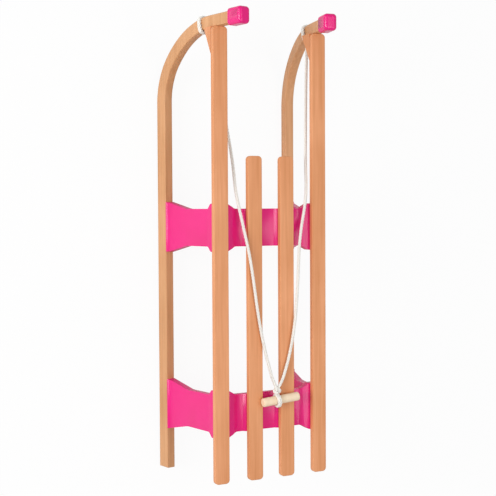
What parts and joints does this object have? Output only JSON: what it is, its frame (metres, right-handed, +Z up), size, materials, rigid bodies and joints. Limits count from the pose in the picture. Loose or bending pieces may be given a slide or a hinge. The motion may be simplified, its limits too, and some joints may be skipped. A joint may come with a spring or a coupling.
{
  "type": "wooden sled",
  "caption": "Wooden sled with bent runners rising into capped horns, four deck boards on moulded arches, and a pull rope with a wooden handle.",
  "frame": {"origin": "on the ground, half way between the tail and the front of the horn caps, on the centre line", "axes": "+X forward towards the horns, +Y left, +Z up"},
  "size_m": [1.0011, 0.3422, 0.3125],
  "materials": {
    "runner_wood": "satin",
    "deck_wood": "satin",
    "handle_wood": "satin",
    "pink_plastic": "glossy",
    "sole_steel": "brushed",
    "rope": "laid rope"
  },
  "bodies": {
    "root": {"runner_left": "runner_wood", "runner_right": "runner_wood", "runner_sole_left": "sole_steel", "runner_sole_right": "sole_steel", "rail_left": "deck_wood", "rail_right": "deck_wood", "slat_left": "deck_wood", "slat_right": "deck_wood", "front_arch": "pink_plastic", "rear_arch": "pink_plastic", "horn_block_left": "deck_wood", "horn_block_right": "deck_wood", "horn_cap_left": "pink_plastic", "horn_cap_right": "pink_plastic", "pull_rope_left": "rope", "pull_rope_right": "rope", "rope_hitch_left": "rope", "rope_hitch_right": "rope", "rope_handle": "handle_wood", "handle_knot": "rope"}
  },
  "joints": []
}
